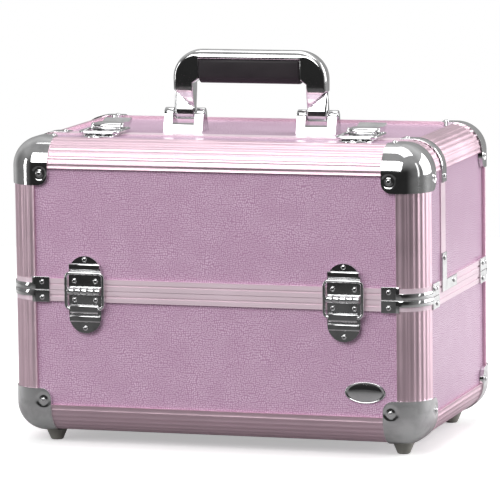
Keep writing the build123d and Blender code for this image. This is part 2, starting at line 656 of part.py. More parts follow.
def tray():
    """The rear tray: an open box with dividers and a pin for each arm at both ends."""
    floor = block(-TRAY_HALF_X, TRAY_HALF_X, TRAY_INNER_Y, TRAY_OUTER_Y, TRAY_LOW, TRAY_HIGH)
    cell = (2 * TRAY_HALF_X - TRAY_WALL) / TRAY_CELLS
    y0 = TRAY_INNER_Y + TRAY_WALL
    y1 = TRAY_OUTER_Y - TRAY_WALL
    for i in range(TRAY_CELLS):
        x0 = -TRAY_HALF_X + TRAY_WALL + i * cell
        floor -= block(x0, x0 + cell - TRAY_WALL, y0, y1, TRAY_LOW + TRAY_WALL, FAR)
    collar = (TRAY_HALF_X, ARM_X0 - ARM_PLAY)
    head = (ARM_X1 + ARM_PLAY, ARM_X1 + ARM_PLAY + HEAD_THICKNESS)
    for foot_y in (ARM_FOOT_Y, LINK_FOOT_Y):
        stud = pivot_stud(foot_y - lean_back, tray_pin_z, collar, head)
        floor += stud
        floor += mirror_x(stud)
    return floor


studs = []
stud_collar = (ARM_X1 + ARM_PLAY, INNER_X - LINING)
stud_head = (ARM_X0 - ARM_PLAY - HEAD_THICKNESS, ARM_X0 - ARM_PLAY)
for foot_y in (ARM_FOOT_Y, LINK_FOOT_Y):
    studs += both_sides(pivot_stud(foot_y, ARM_FOOT_Z, stud_collar, stud_head))
write("tray_pivot_studs", *studs, *[mirror_y(shape) for shape in studs])
arms = both_sides(swing_arm(ARM_FOOT_Y, ARM_HOLE))
links = both_sides(swing_arm(LINK_FOOT_Y, LINK_HOLE))
write("rear_tray_arms", *arms)
write("rear_tray_links", *links)
write("rear_tray", tray())
write("front_tray_arms", *[mirror_y(shape) for shape in arms])
write("front_tray_links", *[mirror_y(shape) for shape in links])
write("front_tray", mirror_y(tray()))

# Rivets: domed heads on every pressing, leaf and plate.
RIVET_RADIUS = 2.1
RIVET_HEIGHT = 1.3
RIVET_ROUND = 1.15
rivet_head = Pos(0, 0, RIVET_HEIGHT / 2) * Cylinder(RIVET_RADIUS, RIVET_HEIGHT)
rivet_head = fillet(rivet_head.edges().group_by(Axis.Z)[-1], RIVET_ROUND)


def rivet(x, y, z, facing):
    """A rivet head standing on a surface that faces the given way."""
    across = (1, 0, 0) if facing[0] == 0 else (0, 1, 0)
    return Plane(origin=(x, y, z), x_dir=across, z_dir=facing) * rivet_head


PRESSED_X = HALF_X + PRESSING
PRESSED_Y = HALF_Y + PRESSING
PRESSED_Z = TOP + PRESSING
ball_front = (150.8, PRESSED_Y, TOP - 28.0)
ball_side = (PRESSED_X, HALF_Y - 29.5, TOP - 27.0)
ball_top = (148.0, HALF_Y - 29.0, PRESSED_Z)


def ball_rivets():
    """The three rivets of the right rear top ball corner."""
    return [rivet(*ball_front, (0, 1, 0)), rivet(*ball_side, (1, 0, 0)), rivet(*ball_top, (0, 0, 1))]


def wrap_rivets(z, side_ys):
    """The rivets of a right rear seam wrap: one on the rear tab and the rest on the side tab."""
    heads = [rivet(RAIL_X - 6.0, PRESSED_Y, z, (0, 1, 0))]
    return heads + [rivet(PRESSED_X, y, z, (1, 0, 0)) for y in side_ys]


# Rivet places: across the leaf or plate from its middle, and away from the seam or parting line.
LOWER_RIVETS = ((0, 31.4), (-9.3, 7.6), (9.3, 7.6))
UPPER_RIVETS = ((0, 26.2), (-9.3, 8.2), (9.3, 8.2))
CATCH_RIVETS = ((0, 26.0), (-9.5, 5.0), (9.5, 5.0))
LATCH_RIVETS = ((0, 33.5), (-9.5, 4.0), (9.5, 4.0))
WRAP_RIVET_RISE = 6.5
LID_WRAP_RIVETS = (76.0, 83.0)  # from the middle of the case, along its side


def leaf_rivets(lower):
    """The three rivets of each front hinge leaf: one in the round end and two beside the ring."""
    side = -1 if lower else 1
    places = LOWER_RIVETS if lower else UPPER_RIVETS
    heads = [rivet(x, LEAF_Y, SEAM + side * z, (0, -1, 0)) for x, z in places]
    return [head for shape in heads for head in pair_at_fittings(shape)]


low_ball = [mirror_z(shape) for shape in ball_rivets()[:2]]
base_heads = low_ball + wrap_rivets(SEAM - WRAP_RIVET_RISE, [HALF_Y - 36.0])
base_heads += [mirror_y(shape) for shape in base_heads]
base_heads += [mirror_x(shape) for shape in base_heads]
base_hinge = leaf_rivets(True)
write("base_rivets", *base_heads, *base_hinge, *[mirror_y(shape) for shape in base_hinge])

lid_hinge = leaf_rivets(False)
lid_heads = ball_rivets() + wrap_rivets(SEAM + WRAP_RIVET_RISE, LID_WRAP_RIVETS)
front_heads = [mirror_y(shape) for shape in lid_heads]
front_heads += [mirror_x(shape) for shape in front_heads]
for x, y in CATCH_RIVETS:
    front_heads += pair_at_fittings(rivet(x, PARTING - y, CATCH_TOP, (0, 0, 1)))
write("front_lid_rivets", *front_heads, *lid_hinge)

trim_y = (TRIM_FRONT + TRIM_REAR) / 2
rear_heads = lid_heads + [
    rivet(149.5, trim_y, PRESSED_Z, (0, 0, 1)),
    rivet(PRESSED_X, trim_y, RAIL_HIGH - 5.5, (1, 0, 0)),
    rivet(PRESSED_X, REAR_EDGE + 6.5, SEAM + 28.0, (1, 0, 0)),
    rivet(PRESSED_X, REAR_EDGE + 36.0, SEAM + 5.5, (1, 0, 0)),
]
rear_heads += [mirror_x(shape) for shape in rear_heads]
for x, y in LATCH_RIVETS:
    rear_heads += pair_at_fittings(rivet(x, PARTING + y, TOP + PLATE, (0, 0, 1)))
write("rear_lid_rivets", *rear_heads, *[mirror_y(shape) for shape in lid_hinge])
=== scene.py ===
import math

import bmesh
import bpy
from mathutils import Matrix, Vector


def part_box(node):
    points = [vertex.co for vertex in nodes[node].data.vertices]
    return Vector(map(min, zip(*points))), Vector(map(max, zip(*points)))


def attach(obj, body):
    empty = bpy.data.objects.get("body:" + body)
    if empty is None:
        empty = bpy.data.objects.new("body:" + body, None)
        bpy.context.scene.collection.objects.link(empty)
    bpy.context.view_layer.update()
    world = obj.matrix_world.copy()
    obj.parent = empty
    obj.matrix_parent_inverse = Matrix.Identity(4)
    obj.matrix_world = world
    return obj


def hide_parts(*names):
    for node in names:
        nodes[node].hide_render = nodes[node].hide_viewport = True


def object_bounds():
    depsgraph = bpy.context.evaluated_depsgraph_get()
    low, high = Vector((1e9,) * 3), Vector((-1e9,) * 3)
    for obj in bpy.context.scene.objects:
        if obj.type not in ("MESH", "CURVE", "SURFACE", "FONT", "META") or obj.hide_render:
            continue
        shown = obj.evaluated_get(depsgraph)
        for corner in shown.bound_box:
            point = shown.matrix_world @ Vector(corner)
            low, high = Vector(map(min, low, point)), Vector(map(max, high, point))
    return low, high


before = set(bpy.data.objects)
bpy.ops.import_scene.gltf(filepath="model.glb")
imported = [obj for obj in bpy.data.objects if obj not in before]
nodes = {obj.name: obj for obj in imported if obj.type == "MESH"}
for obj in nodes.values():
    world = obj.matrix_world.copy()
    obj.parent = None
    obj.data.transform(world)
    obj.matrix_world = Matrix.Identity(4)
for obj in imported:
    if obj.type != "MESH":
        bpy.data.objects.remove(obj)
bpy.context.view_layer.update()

# Viewpoint. The case is seen from a little above, turned so that its right side shows.
LENS = 320.5
LOOK_AT = Vector((-0.0031, 0.0, 0.1549))
STAND_AT = Vector((1.117, -3.570, 0.659))
ROLL = math.radians(-0.75)

camera_data = bpy.data.cameras.new("viewpoint")
camera_data.lens = LENS
camera_data.sensor_width = 36.0
camera = bpy.data.objects.new("viewpoint", camera_data)
bpy.context.scene.collection.objects.link(camera)
aim = (LOOK_AT - STAND_AT).to_track_quat("-Z", "Y").to_matrix().to_4x4()
camera.matrix_world = Matrix.Translation(STAND_AT) @ aim @ Matrix.Rotation(ROLL, 4, "Z")
bpy.context.scene.camera = camera
bpy.context.scene.view_settings.view_transform = "Standard"

# Table and light. The case stands on a round white table in a pale studio. One large soft light is in front
# of it, one overhead and one behind it on the right, with a narrow one on each side. Polished metal
# reflects a darker table and room than the viewpoint sees.
TABLE_RADIUS = 1.15
TABLE_MIDDLE_Y = 0.1
TABLE_STEPS = 96
TABLE_WHITE = 0.90
TABLE_GLOW = 0.42
# Painted shade on the table where polished metal reflects it: how bright its colour is there, from its front
# edge, through a point part of the way back, to its rear.
SHADE_FROM_Y = -0.60
SHADE_TO_Y = 0.40
SHADE_FRONT = 0.07
SHADE_PART_WAY = 0.29
PART_WAY = 0.42
SHADE_REAR = 0.90
CASE_MIDDLE = (0.0, 0.0, 0.15)
# Name, place, the point that the light faces, its width and height in metres and its power in watts.
LIGHTS = (
    ("front_light", (-0.35, -1.85, 1.42), (0.0, -0.05, 0.2), 1.8, 1.35, 33.0),
    ("overhead_light", (0.1, 0.15, 1.9), (0.0, 0.0, 0.2), 1.6, 1.0, 11.0),
    ("right_light", (1.88, 1.15, 0.85), CASE_MIDDLE, 2.2, 1.6, 39.0),
    ("right_strip", (1.95, -0.50, 0.75), CASE_MIDDLE, 0.22, 1.5, 1.5),
    ("left_light", (-1.9, -1.3, 0.5), CASE_MIDDLE, 0.35, 1.1, 5.5),
)
ROOM_ALL_ROUND = 0.03
# Extra light from the room's ceiling, rear wall, right wall and left wall: the direction's axis, where
# along it the light starts and is full, and its strength.
ROOM_WALLS = (
    ("Z", 0.15, 0.9, 0.42),
    ("Y", 0.0, 0.6, 0.42),
    ("X", 0.45, 1.0, 0.22),
    ("X", -0.45, -0.9, 0.22),
)


def mesh_object(name, vertices, faces, smooth=True):
    """A new mesh piece from its points and faces."""
    mesh = bpy.data.meshes.new(name)
    mesh.from_pydata(vertices, [], faces)
    mesh.validate()
    bm = bmesh.new()
    bm.from_mesh(mesh)
    bmesh.ops.recalc_face_normals(bm, faces=bm.faces)
    bm.to_mesh(mesh)
    bm.free()
    mesh.polygons.foreach_set("use_smooth", [smooth] * len(mesh.polygons))
    piece = bpy.data.objects.new(name, mesh)
    bpy.context.scene.collection.objects.link(piece)
    return piece


def node_in(tree, kind, inputs=(), **settings):
    """A new node in a tree. Each input is a socket and either another node's output or a plain value."""
    made = tree.nodes.new(kind)
    for key, value in settings.items():
        setattr(made, key, value)
    for socket, value in dict(inputs).items():
        if isinstance(value, bpy.types.NodeSocket):
            tree.links.new(value, made.inputs[socket])
        else:
            made.inputs[socket].default_value = value
    return made


def maths(tree, operation, first, second=0.0):
    """One step of arithmetic on outputs or numbers."""
    return node_in(tree, "ShaderNodeMath", {0: first, 1: second}, operation=operation).outputs["Value"]


class Finish:
    """A material under construction: its node tree, its Principled shader and short ways to add nodes."""

    def __init__(self, name, values):
        self.material = bpy.data.materials.new(name)
        self.material.use_nodes = True
        self.tree = self.material.node_tree
        self.shader = next(n for n in self.tree.nodes if n.type == "BSDF_PRINCIPLED")
        for socket, value in values.items():
            self.shader.inputs[socket].default_value = value

    def node(self, kind, inputs=(), **settings):
        """A node of this material."""
        return node_in(self.tree, kind, inputs, **settings)

    def feed(self, socket, source):
        """Links an output to one of the shader's sockets."""
        self.tree.links.new(source, self.shader.inputs[socket])

    def effect(self, group, values):
        """One of the shared effects at this point of the piece, set to this material's own values."""
        place = self.node("ShaderNodeTexCoord").outputs["Object"]
        return self.node("ShaderNodeGroup", {**values, "Place": place}, node_tree=group).outputs

    def ramp(self, source, low, high, start=0.0, end=1.0, between=()):
        """A colour or grey that runs from low to high with the source, through any stops in between."""
        made = self.node("ShaderNodeValToRGB", {"Fac": source})
        made.color_ramp.elements[0].position = start
        made.color_ramp.elements[1].position = end
        made.color_ramp.elements[0].color = low
        made.color_ramp.elements[1].color = high
        for position, colour in between:
            made.color_ramp.elements.new(position).color = colour
        return made.outputs["Color"]

    def relief(self, height, strength, distance):
        """A bump that feeds the shader's normal."""
        made = self.node("ShaderNodeBump", {"Strength": strength, "Distance": distance, "Height": height})
        self.feed("Normal", made.outputs["Normal"])


def grey(value):
    """A neutral colour."""
    return (value, value, value, 1.0)


def soft_light(name, place, toward, width, height, power):
    """A large rectangular light, facing a point."""
    data = bpy.data.lights.new(name, "AREA")
    data.shape = "RECTANGLE"
    data.size = width
    data.size_y = height
    data.energy = power
    light = bpy.data.objects.new(name, data)
    bpy.context.scene.collection.objects.link(light)
    turn = (Vector(toward) - Vector(place)).to_track_quat("-Z", "Y").to_matrix().to_4x4()
    light.matrix_world = Matrix.Translation(Vector(place)) @ turn


floor_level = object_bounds()[0].z
rim_points = [
    (
        TABLE_RADIUS * math.cos(2 * math.pi * i / TABLE_STEPS),
        TABLE_RADIUS * math.sin(2 * math.pi * i / TABLE_STEPS) + TABLE_MIDDLE_Y,
        floor_level,
    )
    for i in range(TABLE_STEPS)
]
table_top = mesh_object("table_top", rim_points, [list(range(TABLE_STEPS))], smooth=False)
table_finish = Finish(
    "white_table",
    {
        "Base Color": grey(TABLE_WHITE),
        "Roughness": 0.8,
        "Emission Color": grey(1.0),
        "Emission Strength": TABLE_GLOW,
    },
)
# Painted shade: in reflections the table's colour darkens towards its front edge, while the viewpoint sees it
# white.
table_place = table_finish.node("ShaderNodeTexCoord").outputs["Object"]
table_depth = table_finish.node("ShaderNodeSeparateXYZ", {"Vector": table_place}).outputs["Y"]
table_span = {"Value": table_depth, "From Min": SHADE_FROM_Y, "From Max": SHADE_TO_Y}
toward_rear = table_finish.node("ShaderNodeMapRange", table_span).outputs["Result"]
part_way = (PART_WAY, grey(SHADE_PART_WAY))
shade = table_finish.ramp(toward_rear, grey(SHADE_FRONT), grey(SHADE_REAR), between=[part_way])
reflected = table_finish.node("ShaderNodeBsdfDiffuse", {"Color": shade})
looked_at = table_finish.node("ShaderNodeLightPath").outputs["Is Camera Ray"]
table_look = table_finish.node(
    "ShaderNodeMixShader",
    {"Fac": looked_at, 1: reflected.outputs["BSDF"], 2: table_finish.shader.outputs["BSDF"]},
)
table_end = next(n for n in table_finish.tree.nodes if n.type == "OUTPUT_MATERIAL")
table_finish.tree.links.new(table_look.outputs["Shader"], table_end.inputs["Surface"])
table_top.data.materials.append(table_finish.material)

for light in LIGHTS:
    soft_light(*light)

room = bpy.data.worlds.new("room")
room.use_nodes = True
bpy.context.scene.world = room
room_tree = room.node_tree
room_tree.nodes.clear()
direction = node_in(room_tree, "ShaderNodeTexCoord").outputs["Generated"]
toward = node_in(room_tree, "ShaderNodeSeparateXYZ", {"Vector": direction}).outputs
room_light = ROOM_ALL_ROUND
for axis, start, full, strength in ROOM_WALLS:
    span = {"Value": toward[axis], "From Min": start, "From Max": full}
    wall = node_in(room_tree, "ShaderNodeMapRange", span, interpolation_type="SMOOTHSTEP").outputs["Result"]
    room_light = maths(room_tree, "ADD", maths(room_tree, "MULTIPLY", wall, strength), room_light)
lit = node_in(room_tree, "ShaderNodeBackground", {"Strength": room_light}).outputs["Background"]
plain = node_in(room_tree, "ShaderNodeBackground", {"Color": grey(1.0)}).outputs["Background"]
seen = node_in(room_tree, "ShaderNodeLightPath").outputs["Is Camera Ray"]
room_look = node_in(room_tree, "ShaderNodeMixShader", {"Fac": seen, 1: lit, 2: plain}).outputs["Shader"]
node_in(room_tree, "ShaderNodeOutputWorld", {"Surface": room_look})

# Panels. Thin board faced with a mauve-pink laminate, embossed as fine reptile skin: small uneven scales,
# with a painted highlight on each scale's crown and painted shade in the gaps between them, paler in some
# drifts than in others. The boards are slid into the edge rails before the corners go on.
SCALE_SIZE = 0.0014
SCALE_UNEVENNESS = 0.42
SCALE_PITCH_UP = 0.84  # scales per pitch upwards, against one across
ROWS_STRAY = 0.010
ROWS_STRAY_SCALE = 45.0
DRIFT_SCALE = 60.0
DRIFT_LEAST = 0.74
# The laminate's colour in the gaps between scales, darkened as painted shade, and on their crowns, paled as a
# painted highlight.
LAMINATE_GAP_SHADE = (0.535, 0.295, 0.465, 1.0)
LAMINATE_CROWN_HIGHLIGHT = (0.840, 0.620, 0.785, 1.0)


def group_tree(name, inputs, outputs):
    """An empty node group with named inputs, each with a first value, and named outputs."""
    group = bpy.data.node_groups.new(name, "ShaderNodeTree")
    for label, kind, value in inputs:
        socket = group.interface.new_socket(label, in_out="INPUT", socket_type=kind)
        if value is not None:
            socket.default_value = value
    for label, kind in outputs:
        group.interface.new_socket(label, in_out="OUTPUT", socket_type=kind)
    return group, group.nodes.new("NodeGroupInput").outputs


def noise(tree, place, scale, detail, **inputs):
    """Cloudy noise from 0 to 1 at a place, and the same as a colour."""
    settings = {"Vector": place, "Scale": scale, "Detail": detail, **inputs}
    return node_in(tree, "ShaderNodeTexNoise", settings).outputs


def vector_maths(tree, operation, first, second):
    """One step of arithmetic on places."""
    return node_in(tree, "ShaderNodeVectorMath", {0: first, 1: second}, operation=operation).outputs["Vector"]


def smooth_step(tree, value, start, end, low, high):
    """A smooth change from low to high as the value passes from start to end."""
    span = {"Value": value, "From Min": start, "From Max": end, "To Min": low, "To Max": high}
    return node_in(tree, "ShaderNodeMapRange", span, interpolation_type="SMOOTHSTEP").outputs["Result"]


def choose(tree, share, first, second):
    """The first value where the share is 0 and the second where it is 1."""
    return node_in(tree, "ShaderNodeMix", {"Factor": share, "A": first, "B": second}).outputs["Result"]


scales, given = group_tree(
    "reptile_scales",
    [("Place", "NodeSocketVector", None), ("Scale Size", "NodeSocketFloat", 0.002)],
    [("Crown", "NodeSocketFloat")],
)
wander = noise(scales, given["Place"], ROWS_STRAY_SCALE, 2.0)["Color"]
stray = vector_maths(scales, "SUBTRACT", wander, (0.5, 0.5, 0.5))
stray = vector_maths(scales, "MULTIPLY", stray, (ROWS_STRAY, ROWS_STRAY, ROWS_STRAY))
bent = vector_maths(scales, "ADD", given["Place"], stray)
bent_apart = node_in(scales, "ShaderNodeSeparateXYZ", {"Vector": bent}).outputs
facing = node_in(scales, "ShaderNodeTexCoord").outputs["Normal"]
facing_apart = node_in(scales, "ShaderNodeSeparateXYZ", {"Vector": facing}).outputs


def along_panel(axis):
    """How far a point is along an axis of its panel's plane, or along Y where the panel faces that axis."""
    turned = maths(scales, "GREATER_THAN", maths(scales, "ABSOLUTE", facing_apart[axis]), 0.7)
    return choose(scales, turned, bent_apart[axis], bent_apart["Y"])


in_plane = {"X": along_panel("X"), "Y": along_panel("Z")}
flat = node_in(scales, "ShaderNodeCombineXYZ", in_plane).outputs["Vector"]
cells = node_in(
    scales,
    "ShaderNodeTexVoronoi",
    {
        "Vector": vector_maths(scales, "MULTIPLY", flat, (1.0, SCALE_PITCH_UP, 1.0)),
        "Scale": maths(scales, "DIVIDE", 1.0, given["Scale Size"]),
        "Randomness": SCALE_UNEVENNESS,
    },
    feature="F1",
    voronoi_dimensions="2D",
)
# 1 on each scale's middle, falling to 0 in the gaps: the laminate paints its highlight and shade from this,
# as well as its bump.
crown = smooth_step(scales, cells.outputs["Distance"], 0.12, 0.55, 1.0, 0.0)
drift = noise(scales, given["Place"], DRIFT_SCALE, 2.0)["Fac"]
drift = smooth_step(scales, drift, 0.36, 0.68, DRIFT_LEAST, 1.0)
node_in(scales, "NodeGroupOutput", {"Crown": maths(scales, "MULTIPLY", crown, drift)})


def wear_over(piece, finish):
    """Gives a piece one material."""
    piece.data.materials.clear()
    piece.data.materials.append(finish.material)


laminate = Finish(
    "embossed_laminate", {"Specular IOR Level": 0.5, "Coat Weight": 0.55, "Coat Roughness": 0.22}
)
skin = laminate.effect(scales, {"Scale Size": SCALE_SIZE})["Crown"]
# Painted highlight on the scale crowns and painted shade in the gaps between them, in the base colour.
laminate.feed("Base Color", laminate.ramp(skin, LAMINATE_GAP_SHADE, LAMINATE_CROWN_HIGHLIGHT, 0.05, 0.9))
laminate.feed("Roughness", laminate.ramp(skin, grey(0.48), grey(0.36)))
laminate.relief(skin, 0.35, 0.0002)
PANELS = (
    "base_front_panel",
    "base_back_panel",
    "base_side_panels",
    "base_floor_panel",
    "front_lid_panel",
    "front_lid_side_strips",
    "front_lid_top_strip",
    "rear_lid_back_panel",
    "rear_lid_side_panels",
    "rear_lid_top_panel",
)
for panel in PANELS:
    wear_over(nodes[panel], laminate)

# Edge rails and seam frames. Aluminium drawn through a die, fluted on the outside and anodised pale pink.
# The die leaves hair-fine lines along each length, and the anodising a slightly uneven sheen.
RAIL_PALE = (0.88, 0.655, 0.745, 1.0)
RAIL_DEEP = (0.81, 0.59, 0.68, 1.0)
# Painted light: the seam frames take paler copies of the rail colours, so that they look brighter than the
# rails.
FRAME_PALE_LIGHTENED = (0.95, 0.77, 0.855, 1.0)
FRAME_DEEP_LIGHTENED = (0.90, 0.70, 0.79, 1.0)
RAIL_DEPTH = 0.024
# Noise per metre across the drawn lines and along them.
FINE = 900.0
LONG = 3.0
rail_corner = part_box("base_bottom_rails")[1]

drawn, given = group_tree(
    "drawn_lines",
    [
        ("Place", "NodeSocketVector", None),
        ("Half Width", "NodeSocketFloat", 0.156),
        ("Half Depth", "NodeSocketFloat", 0.087),
    ],
    [("Lines", "NodeSocketFloat"), ("Sheen", "NodeSocketFloat")],
)
rail_place = node_in(drawn, "ShaderNodeSeparateXYZ", {"Vector": given["Place"]}).outputs


def beyond(axis, limit):
    """1 where a point is further out along an axis than the limit, else 0."""
    return maths(drawn, "GREATER_THAN", maths(drawn, "ABSOLUTE", rail_place[axis]), given[limit])


def stretched(factors):
    """Noise drawn out along one axis."""
    return noise(drawn, vector_maths(drawn, "MULTIPLY", given["Place"], factors), 1.0, 3.0)["Fac"]


upright = stretched((FINE, FINE, LONG))
across = stretched((LONG, FINE, FINE))
front_to_back = stretched((FINE, LONG, FINE))
posts_and_front = choose(drawn, beyond("X", "Half Width"), across, upright)
lines = choose(drawn, beyond("Y", "Half Depth"), front_to_back, posts_and_front)
sheen = noise(drawn, given["Place"], 22.0, 2.0)["Fac"]
node_in(drawn, "NodeGroupOutput", {"Lines": lines, "Sheen": sheen})


def anodised(name, pale, deep, roughness, metal):
    """Pink anodised aluminium with drawn lines, from two colours, its roughness and how metallic it looks."""
    finish = Finish(name, {"Metallic": metal})
    limits = {"Half Width": rail_corner.x - RAIL_DEPTH, "Half Depth": rail_corner.y - RAIL_DEPTH}
    marks = finish.effect(drawn, limits)
    finish.feed("Base Color", finish.ramp(marks["Lines"], deep, pale, 0.3, 0.6))
    smooth, matt = grey(roughness - 0.05), grey(roughness + 0.07)
    finish.feed("Roughness", finish.ramp(marks["Sheen"], smooth, matt, 0.3, 0.7))
    return finish


rail_finish = anodised("anodised_rail", RAIL_PALE, RAIL_DEEP, 0.40, 1.0)
# Painted light: the same anodised finish as the rails, but paler and far less metallic, so that the seam
# frames look brighter.
lightened_frame_finish = anodised("anodised_frame", FRAME_PALE_LIGHTENED, FRAME_DEEP_LIGHTENED, 0.36, 0.25)
RAILS = (
    "base_corner_posts",
    "base_bottom_rails",
    "front_lid_corner_posts",
    "front_lid_top_rails",
    "rear_lid_corner_posts",
    "rear_lid_top_rails",
)
for rail in RAILS:
    wear_over(nodes[rail], rail_finish)
for strip in ("base_rim_frame", "front_lid_rim_frame", "rear_lid_rim_frame", "rear_lid_parting_frame"):
    wear_over(nodes[strip], lightened_frame_finish)

# Bright metalwork. Pressed and cast steel, nickel-chrome plated: corner wraps, edge trims, angle brackets,
# hinge leaves and rings, latches, handle brackets and pins, and the rivets that hold them on.
PLATE = (0.80, 0.80, 0.805, 1.0)
PLATE_DULL = (0.66, 0.66, 0.665, 1.0)
SMUDGE_SIZE = 0.012
SCRATCH_STRETCH = (900.0, 500.0, 3500.0)
SHEET_EDGE = 0.00035
BREAK_ANGLE = 32.0

handling, given = group_tree(
    "handling_marks",
    [("Place", "NodeSocketVector", None), ("Size", "NodeSocketFloat", 0.01)],
    [("Smudge", "NodeSocketFloat"), ("Scratch", "NodeSocketFloat")],
)
smudges_per_metre = maths(handling, "DIVIDE", 1.0, given["Size"])
smudge = noise(handling, given["Place"], smudges_per_metre, 4.0, Distortion=0.4)["Fac"]
hairlines = vector_maths(handling, "MULTIPLY", given["Place"], SCRATCH_STRETCH)
scratch = noise(handling, hairlines, 1.0, 2.0)["Fac"]
node_in(handling, "NodeGroupOutput", {"Smudge": smudge, "Scratch": scratch})


def plated(name, bright, dull, smooth, matt):
    """Bright plated metal with faint smudges and hairline marks, from two colours and two roughnesses."""
    finish = Finish(name, {"Metallic": 1.0})
    marks = finish.effect(handling, {"Size": SMUDGE_SIZE})
    finish.feed("Base Color", finish.ramp(marks["Smudge"], dull, bright, 0.35, 0.55))
    finish.feed("Roughness", finish.ramp(marks["Smudge"], grey(matt), grey(smooth), 0.35, 0.62))
    finish.relief(marks["Scratch"], 0.012, 0.00002)
    return finish


def soften(piece, width):
    """Breaks a piece's hard edges by a small rounding."""
    weld = piece.modifiers.new("joined", "WELD")
    weld.merge_threshold = 0.000002
    bevel = piece.modifiers.new("broken_edges", "BEVEL")
    bevel.width = width
    bevel.segments = 2
    bevel.limit_method = "ANGLE"
    bevel.angle_limit = math.radians(BREAK_ANGLE)
    bevel.harden_normals = True


chrome = plated("chrome_plate", PLATE, PLATE_DULL, 0.05, 0.11)
METALWORK = (
    "base_corner_wraps",
    "front_lid_corner_wraps",
    "rear_lid_corner_wraps",
    "rear_lid_edge_trims",
    "rear_lid_angle_brackets",
    "front_hinge_lower_leaves",
    "front_hinge_upper_leaves",
    "rear_hinge_lower_leaves",
    "rear_hinge_upper_leaves",
    "latch_catch_plates",
    "latch_base_plates",
    "latch_lever_left",
    "latch_lever_right",
    "handle_brackets",
)
for part in METALWORK:
    wear_over(nodes[part], chrome)
    soften(nodes[part], SHEET_EDGE)
ROUND_METAL = (
    "hinge_pins",
    "front_hinge_rings",
    "rear_hinge_rings",
    "latch_ring_left",
    "latch_ring_right",
    "handle_pins",
    "base_rivets",
    "front_lid_rivets",
    "rear_lid_rivets",
)
for part in ROUND_METAL:
    wear_over(nodes[part], chrome)

# Ball corners. Each is drawn from one sheet of steel over a ball-ended former, with three flanges that are
# riveted to the panels; a ring is pressed round each rivet.
BALL_RADIUS = 0.0251
LOBE = 0.009
CUBE_HALF = 0.024  # the ball is spread from the faces of a cube of this half size
PRESS_DEPTH = 0.0006
PRESS_INNER = 0.0026
PRESS_OUTER = 0.0062
SKIRT = 0.0034
ROLLED_EDGE = 0.0005
BALL_STEPS = 26
FLANGE_STEPS = 12


def ball_profile(count_flat, count_round, reach):
    """Positions along one direction: even on the flange, then even in angle round the ball."""
    flat = [-reach * (1 - i / count_flat) for i in range(count_flat)]
    turned = [CUBE_HALF * math.tan(math.radians(45 * i / count_round)) for i in range(count_round + 1)]
    return flat + turned


def lobe_point(a, b, reach_a, reach_b):
    """Draws a square flange's free corner in to a round one."""
    u = (a + reach_a) / LOBE
    v = (b + reach_b) / LOBE
    if u >= 1 or v >= 1:
        return a, b
    u, v = 1 - u, 1 - v
    return (
        -reach_a + LOBE * (1 - u * math.sqrt(1 - v * v / 2)),
        -reach_b + LOBE * (1 - v * math.sqrt(1 - u * u / 2)),
    )


def press_ring(distance):
    """Depth of the ring pressed round a rivet at this distance from it."""
    if not PRESS_INNER < distance < PRESS_OUTER:
        return 0.0
    return PRESS_DEPTH * math.sin(math.pi * (distance - PRESS_INNER) / (PRESS_OUTER - PRESS_INNER))


def ball_corner(name, centre, signs, reach, rivets):
    """One ball corner, its outside towards the given signs from its centre, with a flange on each face."""
    bm = bmesh.new()
    made = {}

    def vertex(point):
        key = tuple(round(value, 7) for value in point)
        if key not in made:
            made[key] = bm.verts.new([c + s * value for c, s, value in zip(centre, signs, point)])
        return made[key]

    for axis in range(3):
        first, second = [i for i in range(3) if i != axis]
        steps_a = ball_profile(FLANGE_STEPS, BALL_STEPS // 2, reach[first])
        steps_b = ball_profile(FLANGE_STEPS, BALL_STEPS // 2, reach[second])
        grid = []
        for a in steps_a:
            row = []
            for b in steps_b:
                flat_a, flat_b = a, b
                if a < 0 and b < 0:
                    flat_a, flat_b = lobe_point(a, b, reach[first], reach[second])
                outward = Vector((max(flat_a, 0.0), max(flat_b, 0.0), CUBE_HALF))
                outward = outward.normalized() * BALL_RADIUS
                local = [0.0, 0.0, 0.0]
                local[first] = min(flat_a, 0.0) + outward[0]
                local[second] = min(flat_b, 0.0) + outward[1]
                spot = rivets[axis]
                distance = math.hypot(local[first] - spot[0], local[second] - spot[1])
                local[axis] = outward[2] - press_ring(distance)
                row.append(vertex(local))
            grid.append(row)
        for i in range(len(grid) - 1):
            for j in range(len(grid[0]) - 1):
                corners = [grid[i][j], grid[i + 1][j], grid[i + 1][j + 1], grid[i][j + 1]]
                if len(set(corners)) == 4:
                    bm.faces.new(corners)
    bmesh.ops.recalc_face_normals(bm, faces=bm.faces)
    outside = sum((f.normal.dot(Vector(signs)) for f in bm.faces), 0.0)
    if outside < 0:
        bmesh.ops.reverse_faces(bm, faces=bm.faces)
    mesh = bpy.data.meshes.new(name)
    bm.to_mesh(mesh)
    bm.free()
    mesh.polygons.foreach_set("use_smooth", [True] * len(mesh.polygons))
    piece = bpy.data.objects.new(name, mesh)
    bpy.context.scene.collection.objects.link(piece)
    skirt = piece.modifiers.new("sheet", "SOLIDIFY")
    skirt.thickness = SKIRT
    skirt.offset = -1.0
    edge = piece.modifiers.new("rolled_edge", "BEVEL")
    edge.width = ROLLED_EDGE
    edge.segments = 2
    edge.limit_method = "ANGLE"
    edge.angle_limit = math.radians(50)
    edge.harden_normals = True
    wear_over(piece, chrome)
    return piece


low_box, high_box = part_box("base_ball_corners")
top_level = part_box("rear_lid_ball_corners")[1].z
ball_x = high_box.x - BALL_RADIUS
ball_y = high_box.y - BALL_RADIUS
ball_low = low_box.z + BALL_RADIUS
ball_high = top_level - BALL_RADIUS
BALL_REACH = (0.012, 0.012, 0.014)
